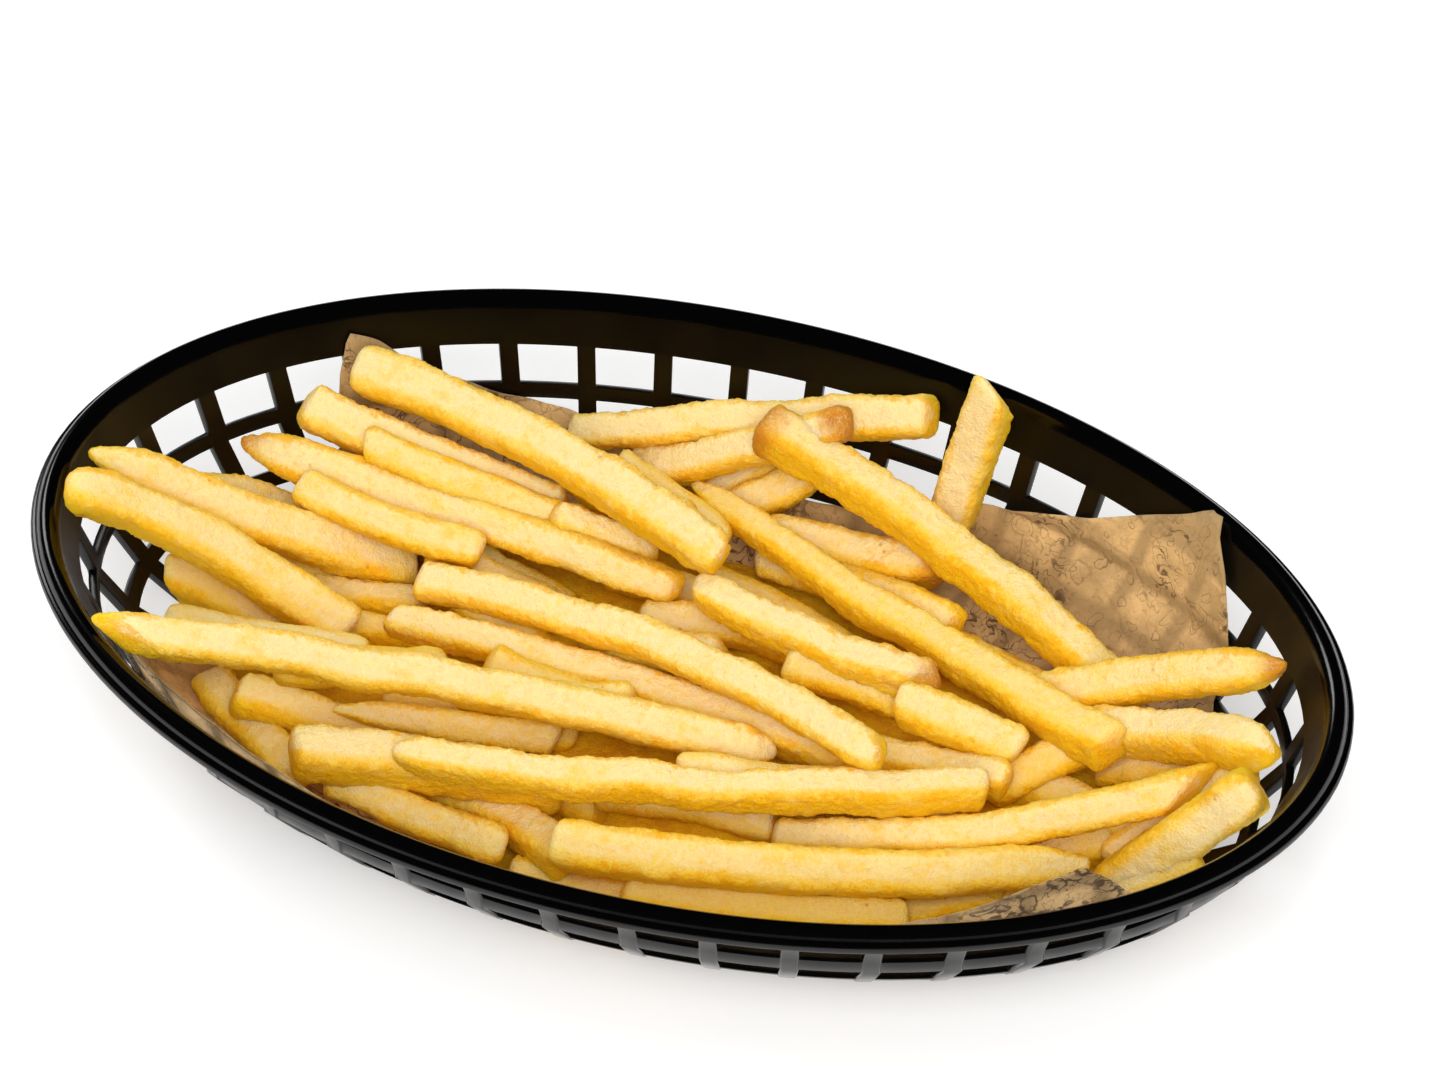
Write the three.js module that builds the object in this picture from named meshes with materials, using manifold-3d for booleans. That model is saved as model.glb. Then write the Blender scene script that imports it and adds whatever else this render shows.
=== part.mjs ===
// A portion of french fries in an oval plastic basket lined with kraft paper.
// Millimetres, +Z up. The origin is on the table under the middle of the basket,
// +X runs along its length.
import * as THREE from 'three';
import Module from 'manifold-3d';
import { mergeVertices } from 'three/addons/utils/BufferGeometryUtils.js';

// ---------------------------------------------------------------- basket sizes
const LENGTH = 238;            // outside of the rim
const WIDTH = 148.8;
const HALF_X = LENGTH / 2;
const HALF_Y = WIDTH / 2;
const SLATS = 40;              // upright slats, evenly spaced round the wall
const SLAT_WIDTH = 3.3;
const SLAT_SHARE = 0.27;       // a slat never takes more of its pitch than this, each side
const SLAT_START = -0.13;      // first slat, in pitches from the +X end
const SPACING_INSET = 8.4;     // the slats are evenly spaced along the wall's top band

// The moulding as a path from the rim's outer lip, over the roll, down the wall and in to
// the middle of the base. Each station is [inset, height] on the inner (or upper) side and
// on the outer (or lower) side; an inset is measured inwards from the rim's outline.
// open: between this station and the next there are only slats, with windows between them.
const STATIONS = [
  { name: 'lip end',          inner: [0.0, 36.4],  outer: [1.3, 36.4] },
  { name: 'lip shoulder',     inner: [0.0, 37.8],  outer: [1.4, 37.3] },
  { name: 'groove',           inner: [0.9, 38.2],  outer: [1.9, 37.9] },
  { name: 'roll top',         inner: [2.9, 40.0],  outer: [2.9, 38.4] },
  { name: 'roll inner side',  inner: [4.4, 39.5],  outer: [3.5, 38.1] },
  { name: 'band top',         inner: [5.4, 38.1],  outer: [3.9, 37.4] },
  { name: 'band bottom',      inner: [8.4, 31.8],  outer: [6.7, 31.2], open: true },
  { name: 'mid ring top',     inner: [11.1, 24.6], outer: [9.5, 24.0] },
  { name: 'mid ring bottom',  inner: [11.5, 21.5], outer: [10.0, 20.9], open: true },
  { name: 'low ring top',     inner: [16.1, 14.9], outer: [14.8, 14.0] },
  { name: 'low ring bottom',  inner: [18.0, 12.7], outer: [16.7, 11.6], open: true },
  { name: 'foot ring top',    inner: [24.3, 7.9],  outer: [23.2, 6.6] },
  { name: 'foot ring bottom', inner: [26.4, 6.6],  outer: [25.4, 5.2], open: true },
  { name: 'base ring outer',  inner: [34.0, 2.4],  outer: [33.0, 0.0] },
  { name: 'base ring inner',  inner: [38.0, 2.0],  outer: [38.0, 0.0], open: true },
  { name: 'base plate edge',  inner: [50.0, 2.0],  outer: [50.0, 0.5] },
];
const WALL_FROM = STATIONS.findIndex((s) => s.name === 'band top');

// ----------------------------------------------------------------- paper sizes
const PAPER_THICKNESS = 0.4;
const PAPER_GAP = 0.85;        // from the flat facets of the wall, windows and all
const PAPER_LIFT = 0.5;        // off the base
const PAPER_WAVE = 0.2;        // half the depth of the creases
const PAPER_ROWS = 5;          // steps from the base up to the sheet's edge
// Where the sheet's edge lies: [angle round the basket, height of the edge, how far it
// leans in from the wall]. The peaks are the corners of the square sheet.
const PAPER_EDGE = [
  [0, 8, 0], [12, 8, 0], [24, 10, 0], [30, 15, 0], [34, 24, 0], [38, 32, 0], [44, 41, 0.8],
  [51, 34, 0], [58, 27, 0], [69, 21, 2], [80, 13, 1], [92, 12, 0], [105, 15, 0],
  [113, 20, 0], [120, 23, 0], [128, 28, 0], [133, 34, 0], [136, 36, 0], [138, 29, 0],
  [140, 16, 0], [150, 8, 0], [163, 7, 0], [175, 7, 0], [187, 7, 0], [196, 9, 0],
  [204, 20, 0], [211, 32, 1], [220, 33, 1.5], [230, 33, 1.5], [240, 32, 1], [252, 30, 0],
  [264, 29, 0], [276, 29, 0], [288, 30, 0], [300, 31, 1], [309, 32, 3], [316, 35, 5],
  [322, 37, 6], [327, 31, 3], [334, 20, 0], [343, 11, 0], [352, 8, 0],
];

// ----------------------------------------------------------------- fries sizes
const FRY_FLAT = 0.93;         // side of a fry's square section for each mm of its width
const FRY_LEAN = 0.62;         // how far each is rolled so that a flat face turns to LEAN_TO
const LEAN_TO = new THREE.Vector3(0.23, -0.66, 0.71);
const FRY_CORNER = 0.27;       // how much of each side its rounded corners take
const FRY_TIP = 0.72;          // an end's size against the fry just behind it
const CORE = { x: 0, y: 3, halfX: 97, halfY: 50, top: 14, bottom: 4 };
const POST_SIDE = 4;           // of the square posts that join the upper fries to the core
const POSTS = [[-37, 35, 31], [-60, 34, 25], [36, 38, 30], [-37, -21, 28],
  [48, 2, 20], [33, 48, 20]];   // x, y, top
const HEAP_GAP = 1.2;          // between the heap and the paper's deepest creases
// The fries that show, from the bottom of the heap up. Each lies from one end to the other:
// x, y, height,  x, y, height,  bow to the left,  width at each end.
const FRIES = [
  [-96, -3, 16, -72, -6, 8, 1.5, 8, 8],
  [-67, 1, 10, -46, 2, 12, 0, 5.2, 5.2],
  [-14, 16, 14, 32, 12, 14, 5, 7.5, 7.5],
  [-74, 8, 9, -52, 9, 11, 0.5, 5.6, 5.6],
  [-83, -18, 9, -58, -38, 11, 0, 7, 7],
  [-17, -44, 8, 8, -44, 8, 0, 6.5, 6.5],
  [35, 31, 11, 62, 24, 10, 1, 7.5, 7.5],
  [-100, 8, 26, -75, 23, 10, 3.5, 6.5, 6.5],
  [-75, -26, 16, -49, -22, 9, 0, 7, 7],
  [-35, -29, 8, -6, -43, 14, 1, 8, 8],
  [0, 41, 10, 41, 30, 18, 1, 7, 7],
  [73, 12, 9, 101, 10, 22, 0, 7.5, 7],
  [-14, 49, 13, -2, 57, 21, 0, 7, 7],
  [-53, -38, 14, -18, -43, 13, 0, 7, 8],
  [53, -17, 10, 81, -1, 7, -1, 6.5, 6.5],
  [55, -1, 11, 73, 14, 15, 0, 7.5, 7],
  [35, -1, 13, 61, -4, 18, 1, 7, 7],
  [-93, 25, 25, -8, 20, 20, 0.5, 9, 6.8],
  [-40, 51, 20, 26, 61, 36, 0.5, 6, 8],
  [-57, -24, 16, -18, -15, 13, 0, 5, 6],
  [50, -30, 7, 71, -14, 7, -0.5, 5, 4.4],
  [16, 8, 21, 43, 8, 18, 0.5, 7, 7.4],
  [81, -7, 7, 101, 5, 24, 1, 7, 7],
  [-58, -42, 23, -12, -29, 16, 1, 9.5, 8.5],
  [-27, 51, 15, 13, 53, 38, -2, 7, 6.4],
  [38, 4, 23, 61, 3, 19, 0, 7.6, 8.2],
  [-111, -1, 41, -58, 19, 10, -2, 7.2, 9],
  [-70, 27, 30, -33, 28, 21, -0.5, 7, 7.6],
  [4, -45, 12, 52, -33, 10, -1, 6.5, 6.5],
  [6, 57, 22, -8, 47, 14, 1, 8, 8],
  [-4, 17, 25, 44, 9, 24, -2, 6.4, 7],
  [-78, 18, 25, -43, 15, 23, -2, 7.2, 7.4],
  [38, 58, 51, 32, 52, 18, -0.5, 8.2, 8.4],
  [70, 14, 16, 106, 3, 34, 2, 8.2, 8.6],
  [82, -14, 9, 106, -7, 36, 0, 8.6, 10.5],
  [-110, -14, 45, -62, -4, 14, 3.5, 8, 9.4],
  [-56, 0, 16, 33, -6, 16, 2, 6.5, 7.5],
  [1, 43, 15, 35, 44, 17, -0.5, 7.2, 7.8],
  [-34, 25, 25, -15, 29, 19, 0.5, 6.6, 6],
  [-40, -39, 26, 59, -10, 22, -4.5, 6.8, 7.2],
  [24, -23, 11, 94, 0, 25, -4.5, 6.2, 7.6],
  [57, 20, 14, 103, 20, 38, 1, 8, 8.6],
  [-89, -42, 42, 20, -9, 16, 3, 7.6, 8],
  [-84, 33, 30, -34, 32, 20, -0.5, 7.8, 7.2],
  [-3, 50, 35, 70, 27, 15, 3, 8.6, 8.4],
  [-53, 7, 20, 41, -15, 28, 6, 7.4, 7.6],
  [-8, -45, 20, 79, -15, 15, -4, 9.2, 8],
  [-76, 41, 34, 0, 20, 30, 3.5, 8.6, 7.8],
  [-15, 47, 19, 77, 7, 21, -1.5, 5.6, 8.6],
];

// ------------------------------------------------------------ the oval and its wall
const degrees = THREE.MathUtils.degToRad;

// A point at a height, inset from the rim's outline, at the oval's angle.
function onOval(angle, inset, height) {
  return new THREE.Vector3(
    (HALF_X - inset) * Math.cos(angle), (HALF_Y - inset) * Math.sin(angle), height);
}

// How far a point travels along the inset oval for each radian.
function stretch(angle, inset) {
  return Math.hypot((HALF_X - inset) * Math.sin(angle), (HALF_Y - inset) * Math.cos(angle));
}

// Angles that share the inset oval's length evenly.
function evenAngles(count, start, inset) {
  const STEPS = 3600;
  const travelled = [0];
  for (let i = 0; i < STEPS; i++) {
    const angle = ((i + 0.5) / STEPS) * 2 * Math.PI;
    travelled.push(travelled[i] + stretch(angle, inset));
  }
  const angles = [];
  for (let k = 0; k < count; k++) {
    const wanted = ((((k + start) / count) % 1) + 1) % 1 * travelled[STEPS];
    const i = travelled.findIndex((length) => length > wanted) - 1;
    const part = (wanted - travelled[i]) / (travelled[i + 1] - travelled[i]);
    angles.push(((i + part) / STEPS) * 2 * Math.PI);
  }
  return angles;
}

// Straight-line reading of a list of [position, value, ...] rows.
function between(rows, position, column = 1) {
  if (position <= rows[0][0]) return rows[0][column];
  for (let i = 1; i < rows.length; i++) {
    const [low, high] = [rows[i - 1], rows[i]];
    if (position <= high[0]) {
      const part = (position - low[0]) / (high[0] - low[0]);
      return low[column] + part * (high[column] - low[column]);
    }
  }
  return rows[rows.length - 1][column];
}

// The wall's inner side, from the base plate up to the rim's top: [height, inset].
const WALL = STATIONS.slice(WALL_FROM - 2).map((s) => [s.inner[1], s.inner[0]])
  .sort((a, b) => a[0] - b[0]);
const BASE_TOP = WALL[0][0];

// The sheet's edge at an angle: its height, and how far it leans in.
function paperEdge(angle) {
  const turned = (((angle * 180) / Math.PI) % 360 + 360) % 360;
  const rows = [...PAPER_EDGE, [360, PAPER_EDGE[0][1], PAPER_EDGE[0][2]]];
  return [between(rows, turned, 1), between(rows, turned, 2)];
}

// A point off the wall by a distance square to it, more where the sheet leans in.
function offWall(angle, height, distance) {
  const run = between(WALL, height + 1) - between(WALL, height - 1);
  const slope = Math.atan2(-run, 2);
  const [edge, lean] = paperEdge(angle);
  const climb = THREE.MathUtils.clamp((height - BASE_TOP) / (edge - BASE_TOP), 0, 1);
  const off = distance + lean * climb * climb;
  return onOval(angle, between(WALL, height) + off * Math.cos(slope),
    height + off * Math.sin(slope));
}

// A closed body from a grid of vertices: quads are rows of four vertex numbers.
function body(points, quads) {
  const geometry = new THREE.BufferGeometry().setFromPoints(points);
  const index = [];
  for (const [a, b, c, d] of quads) {
    index.push(a, b, c);
    if (d !== undefined) index.push(a, c, d);
  }
  geometry.setIndex(index);
  geometry.computeVertexNormals();
  return geometry;
}

// ---------------------------------------------------------------------- basket
// Two vertices stand at each slat's edges, on the inner and on the outer side of every
// station; faces close every band, every slat and the edges of every window.
function basketGeometry() {
  const pitch = (2 * Math.PI) / SLATS;
  const slats = evenAngles(SLATS, SLAT_START, SPACING_INSET);
  const columns = SLATS * 2;
  const points = [];
  const number = (station, side, column) =>
    (station * 2 + side) * columns + ((column + columns) % columns);
  for (const station of STATIONS) {
    for (const [inset, height] of [station.inner, station.outer]) {
      for (const angle of slats) {
        const half = Math.min(SLAT_WIDTH / 2 / stretch(angle, inset), SLAT_SHARE * pitch);
        points.push(onOval(angle - half, inset, height), onOval(angle + half, inset, height));
      }
    }
  }
  const quads = [];
  const isSlat = (column) => column % 2 === 0;
  STATIONS.slice(0, -1).forEach((station, s) => {
    for (let c = 0; c < columns; c++) {
      if (station.open && !isSlat(c)) {
        // the window's upper and lower edges
        quads.push([number(s, 0, c), number(s, 0, c + 1), number(s, 1, c + 1), number(s, 1, c)]);
        quads.push([number(s + 1, 0, c + 1), number(s + 1, 0, c),
          number(s + 1, 1, c), number(s + 1, 1, c + 1)]);
        continue;
      }
      quads.push([number(s, 0, c), number(s, 0, c + 1),
        number(s + 1, 0, c + 1), number(s + 1, 0, c)]);
      quads.push([number(s, 1, c), number(s + 1, 1, c),
        number(s + 1, 1, c + 1), number(s, 1, c + 1)]);
      if (station.open) {
        // a slat's two sides
        quads.push([number(s, 0, c), number(s + 1, 0, c), number(s + 1, 1, c), number(s, 1, c)]);
        quads.push([number(s, 1, c + 1), number(s + 1, 1, c + 1),
          number(s + 1, 0, c + 1), number(s, 0, c + 1)]);
      }
    }
  });
  const last = STATIONS.length - 1;
  const top = points.push(new THREE.Vector3(0, 0, STATIONS[last].inner[1])) - 1;
  const bottom = points.push(new THREE.Vector3(0, 0, STATIONS[last].outer[1])) - 1;
  for (let c = 0; c < columns; c++) {
    quads.push([number(0, 0, c + 1), number(0, 0, c), number(0, 1, c), number(0, 1, c + 1)]);
    quads.push([number(last, 0, c), number(last, 0, c + 1), top]);
    quads.push([number(last, 1, c + 1), number(last, 1, c), bottom]);
  }
  return body(points, quads);
}

// ----------------------------------------------------------------- paper liner
// The sheet lies on the base and up the wall to its own edge, with shallow creases.
function paperGeometry() {
  const columns = [];
  PAPER_EDGE.forEach(([start], i) => {
    const end = i + 1 < PAPER_EDGE.length ? PAPER_EDGE[i + 1][0] : 360;
    const steps = Math.ceil((end - start) / 8);
    for (let k = 0; k < steps; k++) columns.push(degrees(start + (k / steps) * (end - start)));
  });
  const baseInsets = [60, 50, 40];
  const rows = baseInsets.length + PAPER_ROWS;
  const lowest = BASE_TOP + PAPER_LIFT;
  const points = [];
  for (const lift of [0, PAPER_THICKNESS]) {
    columns.forEach((angle, c) => {
      for (let row = 0; row < rows; row++) {
        const crease = PAPER_WAVE * (1 + Math.sin(1.7 * c + 2.2 * row));
        if (row < baseInsets.length) {
          points.push(onOval(angle, baseInsets[row], lowest + crease + lift));
          continue;
        }
        const climb = ((row - baseInsets.length + 1) / PAPER_ROWS) ** 1.5;
        const height = THREE.MathUtils.lerp(lowest, paperEdge(angle)[0], climb);
        points.push(offWall(angle, height, PAPER_GAP + crease + lift));
      }
    });
  }
  const sheet = columns.length * rows;
  const number = (side, column, row) =>
    side * sheet + (column % columns.length) * rows + row;
  const quads = [];
  const under = points.push(new THREE.Vector3(0, 0, lowest)) - 1;
  const over = points.push(new THREE.Vector3(0, 0, lowest + PAPER_THICKNESS)) - 1;
  for (let c = 0; c < columns.length; c++) {
    for (let r = 0; r < rows - 1; r++) {
      const square = (side) => [number(side, c, r), number(side, c, r + 1),
        number(side, c + 1, r + 1), number(side, c + 1, r)];
      const [a, b, d, e] = square(1);
      quads.push([a, b, d], [a, d, e]);
      const [f, g, h, i] = square(0);
      quads.push([f, h, g], [f, i, h]);
    }
    quads.push([over, number(1, c, 0), number(1, c + 1, 0)]);
    quads.push([under, number(0, c + 1, 0), number(0, c, 0)]);
    const end = rows - 1;
    quads.push([number(0, c, end), number(0, c + 1, end),
      number(1, c + 1, end), number(1, c, end)]);
  }
  return body(points, quads);
}

// ----------------------------------------------------------------------- fries
// A closed body through rings of points, with flat ends.
function loft(rings) {
  const count = rings[0].length;
  const points = rings.flat();
  const quads = [];
  for (let r = 0; r < rings.length - 1; r++) {
    for (let i = 0; i < count; i++) {
      const j = (i + 1) % count;
      quads.push([r * count + i, r * count + j, (r + 1) * count + j, (r + 1) * count + i]);
    }
  }
  const end = (rings.length - 1) * count;
  for (let i = 1; i < count - 1; i++) {
    quads.push([0, i + 1, i], [end, end + i, end + i + 1]);
  }
  return body(points, quads);
}

// A fry's bent centre line.
function fryPath([x0, y0, z0, x1, y1, z1, bow]) {
  const from = new THREE.Vector3(x0, y0, z0);
  const to = new THREE.Vector3(x1, y1, z1);
  const across = new THREE.Vector3(y0 - y1, x1 - x0, 0).normalize();
  const middle = from.clone().add(to).multiplyScalar(0.5).addScaledVector(across, 2 * bow);
  return new THREE.QuadraticBezierCurve3(from, middle, to);
}

// One fry: a bent stick of square section with its corners cut off and its tips drawn in.
function fryGeometry(fry) {
  const [width0, width1] = fry.slice(7);
  const path = fryPath(fry);
  const length = path.v0.distanceTo(path.v2);
  const tip = Math.min(0.5, 3 / length);
  const along = path.getTangent(0.5);
  const left = new THREE.Vector3(-along.y, along.x, 0).normalize();
  const lean = Math.atan2(LEAN_TO.dot(left), LEAN_TO.dot(along.clone().cross(left)));
  const turns = Math.round((lean / (Math.PI / 2)) * 0.8);
  const roll = -FRY_LEAN * lean - ((1 - FRY_LEAN) * turns * Math.PI) / 2;
  const [c, sn] = [Math.cos(roll), Math.sin(roll)];
  const bends = length > 68 ? [0.35, 0.65] : Math.abs(fry[6]) > 1 ? [0.5] : [];
  const stops = [0, tip, ...bends, 1 - tip, 1];
  const rings = stops.map((t) => {
    const end = t === 0 || t === 1 ? FRY_TIP : 1;
    const half = 0.5 * FRY_FLAT * THREE.MathUtils.lerp(width0, width1, t) * end;
    const corner = half * (1 - 2 * FRY_CORNER);
    const centre = path.getPoint(t);
    const tangent = path.getTangent(t);
    const side = new THREE.Vector3(-tangent.y, tangent.x, 0).normalize();
    const up = tangent.clone().cross(side);
    const outline = [[half, -corner], [half, corner], [corner, half], [-corner, half],
      [-half, corner], [-half, -corner], [-corner, -half], [corner, -half]];
    return outline.map(([s, u]) => centre.clone()
      .addScaledVector(side, s * c - u * sn).addScaledVector(up, s * sn + u * c));
  });
  return loft(rings);
}

// A post from the core up into a fry: the hidden fries that it rests on.
function postGeometry([x, y, top]) {
  const bottom = CORE.bottom + 1;
  const geometry = new THREE.BoxGeometry(POST_SIDE, POST_SIDE, top - bottom);
  return geometry.translate(x, y, (top + bottom) / 2);
}

// A squashed dome standing for the fries that nobody sees.
function coreGeometry() {
  const SIDES = 16;
  const dome = [[1, 0.15], [0.95, 0.4], [0.7, 0.8], [0.25, 1]];
  const ring = (scale, height) => Array.from({ length: SIDES }, (_, i) => {
    const angle = (i / SIDES) * 2 * Math.PI;
    return new THREE.Vector3(CORE.x + CORE.halfX * scale * Math.cos(angle),
      CORE.y + CORE.halfY * scale * Math.sin(angle), height);
  });
  const rings = [ring(0.75, CORE.bottom)];
  for (const [scale, part] of dome) {
    rings.push(ring(scale, CORE.bottom + part * (CORE.top - CORE.bottom)));
  }
  return loft(rings);
}

// The room that the heap may fill: the wall's inner side, kept clear by HEAP_GAP, and
// straight up from the rim's inner edge.
function heapRoomGeometry() {
  const SIDES = 40;
  const ring = (inset, height) => Array.from({ length: SIDES }, (_, i) =>
    onOval(((i + 0.5) / SIDES) * 2 * Math.PI, inset, height));
  const off = PAPER_GAP + 2 * PAPER_WAVE + PAPER_THICKNESS + HEAP_GAP;
  const wall = [3, 6, 9, 14, 20, 26, 32, 36].map((height) =>
    ring(0, 0).map((_, i) => offWall(((i + 0.5) / SIDES) * 2 * Math.PI, height, off)));
  return loft([...wall, ring(7.2, 39.3), ring(6.2, 41.2), ring(-20, 41.3), ring(-20, 70)]);
}

const wasm = await Module();
wasm.setup();

function solid(geometry) {
  const plain = geometry.clone();
  plain.deleteAttribute('normal');
  plain.deleteAttribute('uv');
  const merged = mergeVertices(plain, 1e-4);
  return new wasm.Manifold(new wasm.Mesh({
    numProp: 3,
    vertProperties: Float32Array.from(merged.attributes.position.array),
    triVerts: Uint32Array.from(merged.index.array),
  }));
}

function geometryOf(manifold) {
  const mesh = manifold.getMesh();
  const geometry = new THREE.BufferGeometry();
  geometry.setAttribute('position', new THREE.BufferAttribute(mesh.vertProperties, 3));
  geometry.setIndex(new THREE.BufferAttribute(mesh.triVerts, 1));
  geometry.computeVertexNormals();
  return geometry;
}

// Core and fries joined into one body; a scrap that the wall's clearance cuts loose is left.
function heapGeometry() {
  let heap = solid(coreGeometry());
  for (const fry of FRIES) heap = heap.add(solid(fryGeometry(fry)));
  for (const post of POSTS) heap = heap.add(solid(postGeometry(post)));
  const pieces = heap.intersect(solid(heapRoomGeometry())).decompose();
  pieces.sort((a, b) => b.volume() - a.volume());
  return geometryOf(pieces[0]);
}

// ----------------------------------------------------------------------- model
function piece(name, geometry, colour, roughness) {
  const material = new THREE.MeshStandardMaterial({ color: colour, roughness, metalness: 0 });
  const mesh = new THREE.Mesh(geometry, material);
  mesh.name = name;
  return mesh;
}

const portion = new THREE.Group();
portion.add(piece('basket', basketGeometry(), 0x0c0c0d, 0.25));
portion.add(piece('paper_liner', paperGeometry(), 0xb99a74, 0.85));
portion.add(piece('fries_heap', heapGeometry(), 0xedc566, 0.6));

export default portion;
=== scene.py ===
"""A portion of french fries on kraft paper in an oval openwork basket, dressed over its CAD frame."""
import math
import random

import bpy
import numpy as np
from bpy.props import FloatProperty, FloatVectorProperty, IntProperty, PointerProperty
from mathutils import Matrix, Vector, noise


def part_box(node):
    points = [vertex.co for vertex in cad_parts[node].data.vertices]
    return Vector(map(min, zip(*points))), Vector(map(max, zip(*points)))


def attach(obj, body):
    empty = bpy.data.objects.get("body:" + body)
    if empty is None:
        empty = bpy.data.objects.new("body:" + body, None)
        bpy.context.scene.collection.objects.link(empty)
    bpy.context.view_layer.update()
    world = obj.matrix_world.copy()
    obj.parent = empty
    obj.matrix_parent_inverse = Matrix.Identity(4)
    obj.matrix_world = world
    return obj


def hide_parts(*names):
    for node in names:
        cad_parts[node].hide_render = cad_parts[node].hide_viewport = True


bl_info = {
    "name": "Basket of Fries",
    "version": (1, 0, 0),
    "blender": (4, 5, 0),
    "location": "View3D > Sidebar > Fries",
    "description": "Builds a paper-lined oval basket heaped with french fries",
    "category": "Add Mesh",
}

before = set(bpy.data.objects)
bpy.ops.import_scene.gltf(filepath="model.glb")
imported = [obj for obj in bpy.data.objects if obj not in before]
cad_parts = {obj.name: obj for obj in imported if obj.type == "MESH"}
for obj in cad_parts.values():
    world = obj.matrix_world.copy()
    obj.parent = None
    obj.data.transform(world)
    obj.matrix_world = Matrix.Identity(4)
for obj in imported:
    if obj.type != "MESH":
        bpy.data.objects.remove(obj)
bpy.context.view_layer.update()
_, BASKET_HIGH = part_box("basket")

MM = 0.001
HALF_X = BASKET_HIGH.x / MM          # the rim's outline, in mm
HALF_Y = BASKET_HIGH.y / MM
TAU = 2 * math.pi
QUARTER = math.pi / 2

# ---------------------------------------- the basket's moulding
# Stations from the rim's lip over the roll, down the wall and in to the base's middle:
# (inset, height) of the inner side, the same of the outer side, and whether only slats
# join it to the next one.
STATIONS = [
    ((0.05, 36.4), (1.3, 36.45), False),
    ((0.0, 36.9), (1.35, 37.0), False),
    ((0.0, 37.5), (1.4, 37.3), False),
    ((0.25, 37.95), (1.55, 37.5), False),
    ((0.7, 38.05), (1.7, 37.65), False),
    ((1.05, 38.2), (1.9, 37.8), False),
    ((1.25, 38.8), (2.1, 38.0), False),
    ((1.65, 39.45), (2.4, 38.2), False),
    ((2.2, 39.85), (2.65, 38.3), False),
    ((2.9, 40.0), (2.9, 38.35), False),
    ((3.6, 39.85), (3.15, 38.3), False),
    ((4.2, 39.45), (3.4, 38.15), False),
    ((4.7, 38.9), (3.65, 37.85), False),
    ((5.1, 38.3), (3.85, 37.5), False),
    ((5.45, 37.6), (4.1, 37.0), False),
    ((6.9, 34.6), (5.4, 34.1), False),
    ((8.3, 32.0), (6.6, 31.4), False),
    ((8.4, 31.8), (6.7, 31.2), True),
    ((11.1, 24.6), (9.5, 24.0), False),
    ((11.5, 21.5), (10.0, 20.9), True),
    ((16.1, 14.9), (14.8, 14.0), False),
    ((18.0, 12.7), (16.7, 11.6), True),
    ((24.3, 7.9), (23.2, 6.6), False),
    ((26.4, 6.6), (25.4, 5.2), True),
    ((34.0, 2.4), (33.0, 0.0), False),
    ((38.0, 2.0), (38.0, 0.0), True),
    ((50.0, 2.0), (50.0, 0.5), False),
]
ROLL_TOP = 9                         # the station at the roll's top
WALL_FROM = 14                       # the first station of the wall below the roll
GLOSSY_FROM = 37.7                   # height from which the inner side is the roll's
SPACING_INSET = 8.4                  # the slats are evenly spaced along this oval
SLAT_START = -0.13                   # the first slat, in pitches from the +X end
SLAT_SHARE = 0.27                    # the most of its pitch that a slat takes, each side
RINGS = (13.6, 22.9)                 # heights of the two rings inside the wall
SLAT_PROUD = 0.35                    # how far a slat stands out of the rings, outside
PROUD_FROM, PROUD_TO = 0.2, 33       # between these heights
SLAT_COLUMNS = (-1, -0.82, 0, 0.82, 1)  # points over a slat, in half widths
WINDOW_COLUMNS = (0.25, 0.5, 0.75)   # points over a window, as shares of it
SOFT_EDGE = 0.22 * MM                # bevel along the edges
SHARP_ANGLE = math.radians(38)       # that turn by more than this
# Brown tint of the inner wall: partly grease, partly painted reflection of the fries.
GREASE_AND_FRY_REFLECTION = (0.006, 0.004, 0.002)

# ---------------------------------------- the paper sheet
PAPER_GAP = 0.95                     # off the wall's chords
PAPER_LIFT = 0.75                    # off the base
PAPER_MIDDLE = 70                    # inset of its innermost ring of points
PAPER_GRID = (480, 8, 34)            # points round it, and rings on the base and the wall
RAGGED = 0.35                        # how far its edge wanders up and down
SLAT_SHADE_RUN = 2.6                     # reach of the painted shade over a slat or a ring behind the sheet
CLOSED_SHADE_ABOVE = 30.5                  # height from which the wall behind it is closed, so the sheet is painted in its shade
BASE_SHADE = 0.5                    # how dark the painted shade is on the base
BOLD_PRINT = (-36, -24)              # the print grows fainter between these y
# The sheet's edge: (angle round the basket, height, how far it leans in from the wall).
PAPER_EDGE = [
    (0, 8, 0), (12, 8, 0), (24, 10, 0), (30, 15, 0), (34, 24, 0), (38, 32, 0),
    (44, 41, 0.8), (51, 34, 0), (58, 27, 0), (69, 21, 2), (80, 13, 1), (92, 12, 0),
    (105, 15, 0), (113, 20, 0), (120, 23, 0), (128, 28, 0), (133, 34, 0), (136, 36, 0),
    (138, 29, 0), (140, 16, 0), (150, 8, 0), (163, 7, 0), (175, 7, 0), (187, 7, 0),
    (196, 9, 0), (204, 20, 0), (211, 32, 1), (220, 33, 1.5), (230, 33, 1.5), (240, 32, 1),
    (252, 30, 0), (264, 29, 0), (276, 29, 0), (288, 30, 0), (300, 31, 1), (309, 32, 3),
    (316, 35, 5), (322, 37, 6), (327, 31, 3), (334, 20, 0), (343, 11, 0), (352, 8, 0),
    (360, 8, 0),
]

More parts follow.
